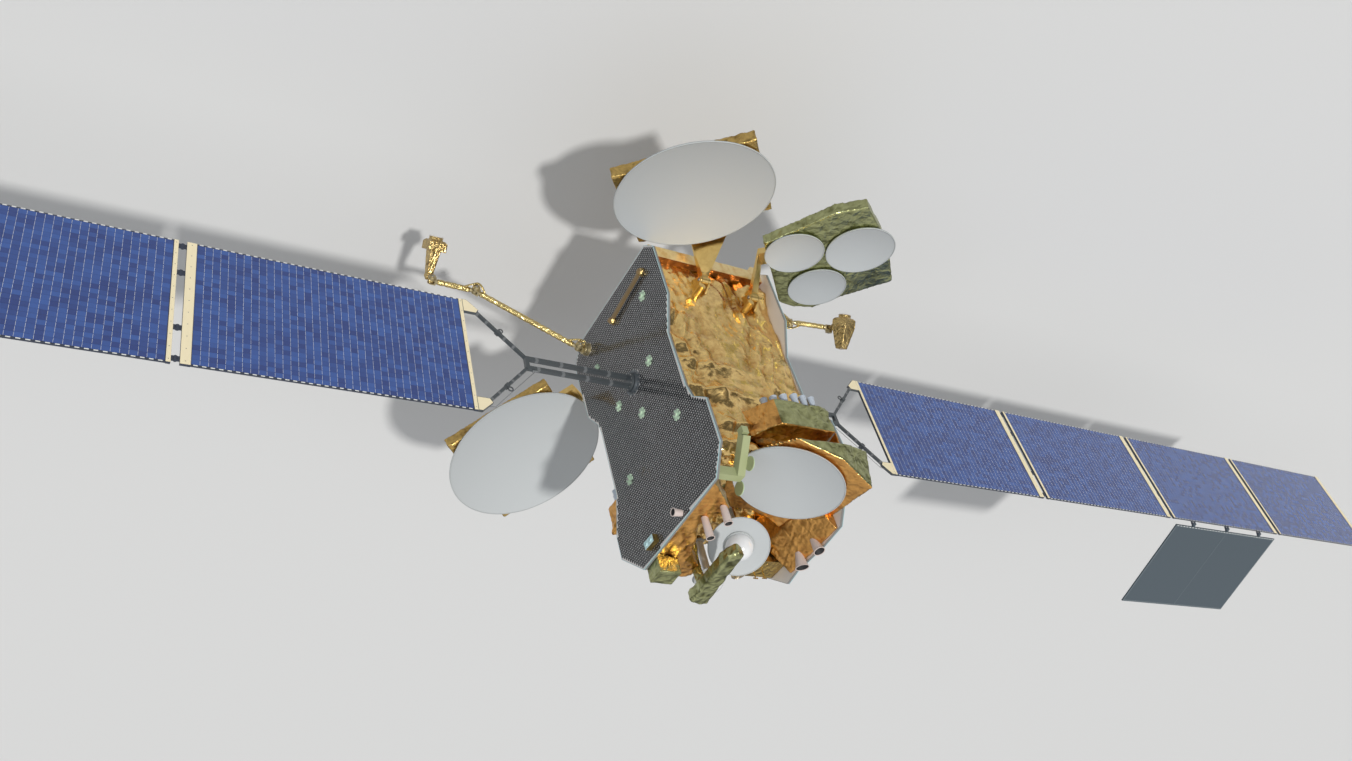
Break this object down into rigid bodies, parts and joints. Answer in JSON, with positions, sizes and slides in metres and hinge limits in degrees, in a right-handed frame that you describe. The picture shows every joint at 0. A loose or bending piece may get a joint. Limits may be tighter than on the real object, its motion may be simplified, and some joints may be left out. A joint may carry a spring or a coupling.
{
  "type": "communications satellite",
  "caption": "Geostationary communications satellite with solar wings on turning yokes, hinged reflectors on gold trays and jointed electric thruster arms.",
  "frame": {"origin": "centre of the launch ring at its lower face", "axes": "+Z towards the Earth-facing deck, +Y along the north solar wing, +X out of the east face"},
  "size_m": [8.226, 38.06, 6.3709],
  "materials": {
    "foil_tube": "metal tube under crumpled film",
    "gold_foil": "crumpled metallised film",
    "mirror_tiles": "silvered tiles",
    "ring_metal": "bare machined",
    "pale_fitting": "pale green paint",
    "solar_cells": "blue cells under cover glass",
    "dark_carbon": "carbon tube",
    "slate_panel": "matte slate",
    "white_reflector": "matt white-grey paint",
    "grey_horn": "satin grey paint",
    "white_dome": "satin white paint"
  },
  "bodies": {
    "root": {"bus_core": "gold_foil", "radiator_north": "mirror_tiles", "radiator_south": "mirror_tiles", "launch_ring": "ring_metal", "edge_beam_east": "gold_foil", "edge_beam_west": "gold_foil", "drive_north": "ring_metal", "drive_south": "ring_metal", "hold_downs_north": "pale_fitting", "hold_downs_south": "pale_fitting", "arm_base_north": "foil_tube", "arm_base_south": "foil_tube", "hinge_bracket_east_north": "ring_metal", "hinge_bracket_east_south": "ring_metal", "hinge_bracket_west": "ring_metal", "feed_box_east": "gold_foil", "feed_horns_east": "grey_horn", "feed_box_west": "gold_foil", "feed_horns_west": "grey_horn", "earth_dish": "white_reflector", "earth_tray": "gold_foil", "deck_disc": "white_dome", "deck_domes": "white_dome", "stow_posts": "foil_tube", "arm_cradle_north": "foil_tube", "deck_wall_south": "gold_foil", "deck_parapet": "gold_foil", "deck_towers": "gold_foil", "deck_horns": "grey_horn", "deck_aerials": "gold_foil", "deck_bracket": "pale_fitting"},
    "wing_north": {"yoke_north": "dark_carbon", "panel_north_1": "solar_cells", "panel_north_2": "solar_cells", "panel_north_3": "solar_cells", "panel_north_4": "solar_cells"},
    "flap_north": {"flap_north": "slate_panel"},
    "shoulder_north": {"arm_knuckle_north": "foil_tube"},
    "boom_north": {"arm_boom_north": "foil_tube"},
    "forearm_north": {"arm_forearm_north": "foil_tube"},
    "thruster_north": {"thruster_north": "foil_tube"},
    "wing_south": {"yoke_south": "dark_carbon", "panel_south_1": "solar_cells", "panel_south_2": "solar_cells", "panel_south_3": "solar_cells", "panel_south_4": "solar_cells"},
    "flap_south": {"flap_south": "slate_panel"},
    "shoulder_south": {"arm_knuckle_south": "foil_tube"},
    "boom_south": {"arm_boom_south": "foil_tube"},
    "forearm_south": {"arm_forearm_south": "foil_tube"},
    "thruster_south": {"thruster_south": "foil_tube"},
    "reflector_east_north": {"tray_east_north": "gold_foil", "dish_east_north": "white_reflector", "reflector_arm_east_north": "gold_foil"},
    "reflector_east_south": {"tray_east_south": "gold_foil", "dish_east_south": "white_reflector", "reflector_arm_east_south": "gold_foil"},
    "reflector_west": {"tray_west": "gold_foil", "dish_west": "white_reflector", "reflector_arm_west": "gold_foil"}
  },
  "joints": [
    {"name": "wing_drive_north", "type": "hinge", "parent": "root", "child": "wing_north", "pos_m": [0, 1.17, 2], "axis": [0, 1, 0], "continuous": true},
    {"name": "flap_hinge_north", "type": "hinge", "parent": "wing_north", "child": "flap_north", "pos_m": [-0.035, 13.32, 3.095], "axis": [0, 1, 0], "range_deg": [-105, 72.3]},
    {"name": "wing_drive_south", "type": "hinge", "parent": "root", "child": "wing_south", "pos_m": [0, -1.17, 2], "axis": [0, 1, 0], "continuous": true},
    {"name": "flap_hinge_south", "type": "hinge", "parent": "wing_south", "child": "flap_south", "pos_m": [-0.035, -13.32, 3.095], "axis": [0, 1, 0], "range_deg": [-105, 72.3]},
    {"name": "arm_yaw_north", "type": "hinge", "parent": "root", "child": "shoulder_north", "pos_m": [-0.95, 1.296, 0.47], "axis": [0, 1, 0], "range_deg": [-20, 20]},
    {"name": "arm_lift_north", "type": "hinge", "parent": "shoulder_north", "child": "boom_north", "pos_m": [-0.95, 1.296, 0.47], "axis": [0.9943, 0, -0.1063], "range_deg": [-30, 20]},
    {"name": "arm_elbow_north", "type": "hinge", "parent": "boom_north", "child": "forearm_north", "pos_m": [-1.05232, 2.95709, -0.48745], "axis": [0.9943, 0, -0.1063], "range_deg": [-20, 35]},
    {"name": "arm_wrist_north", "type": "hinge", "parent": "forearm_north", "child": "thruster_north", "pos_m": [-1.0551, 3.70663, -0.51348], "axis": [0.9943, 0, -0.1063], "range_deg": [-30, 30]},
    {"name": "arm_yaw_south", "type": "hinge", "parent": "root", "child": "shoulder_south", "pos_m": [0.95, -1.296, 0.47], "axis": [0, 1, 0], "range_deg": [-20, 20]},
    {"name": "arm_lift_south", "type": "hinge", "parent": "shoulder_south", "child": "boom_south", "pos_m": [0.95, -1.296, 0.47], "axis": [-0.6225, 0, 0.7826], "range_deg": [-25, 15]},
    {"name": "arm_elbow_south", "type": "hinge", "parent": "boom_south", "child": "forearm_south", "pos_m": [-0.01385, -2.76896, -0.29668], "axis": [-0.6225, 0, 0.7826], "range_deg": [-45, 10]},
    {"name": "arm_wrist_south", "type": "hinge", "parent": "forearm_south", "child": "thruster_south", "pos_m": [0.20603, -3.46434, -0.12178], "axis": [-0.6225, 0, 0.7826], "range_deg": [-60, 15]},
    {"name": "reflector_hinge_east_north", "type": "hinge", "parent": "root", "child": "reflector_east_north", "pos_m": [1.27, 0.21, 0.76], "axis": [0, -1, 0], "range_deg": [0, 80]},
    {"name": "reflector_hinge_east_south", "type": "hinge", "parent": "root", "child": "reflector_east_south", "pos_m": [1.27, -0.7, 0.9], "axis": [0, -1, 0], "range_deg": [0, 80]},
    {"name": "reflector_hinge_west", "type": "hinge", "parent": "root", "child": "reflector_west", "pos_m": [-1.27, 0.88, 1.7], "axis": [0, 1, 0], "range_deg": [0, 75]}
  ]
}
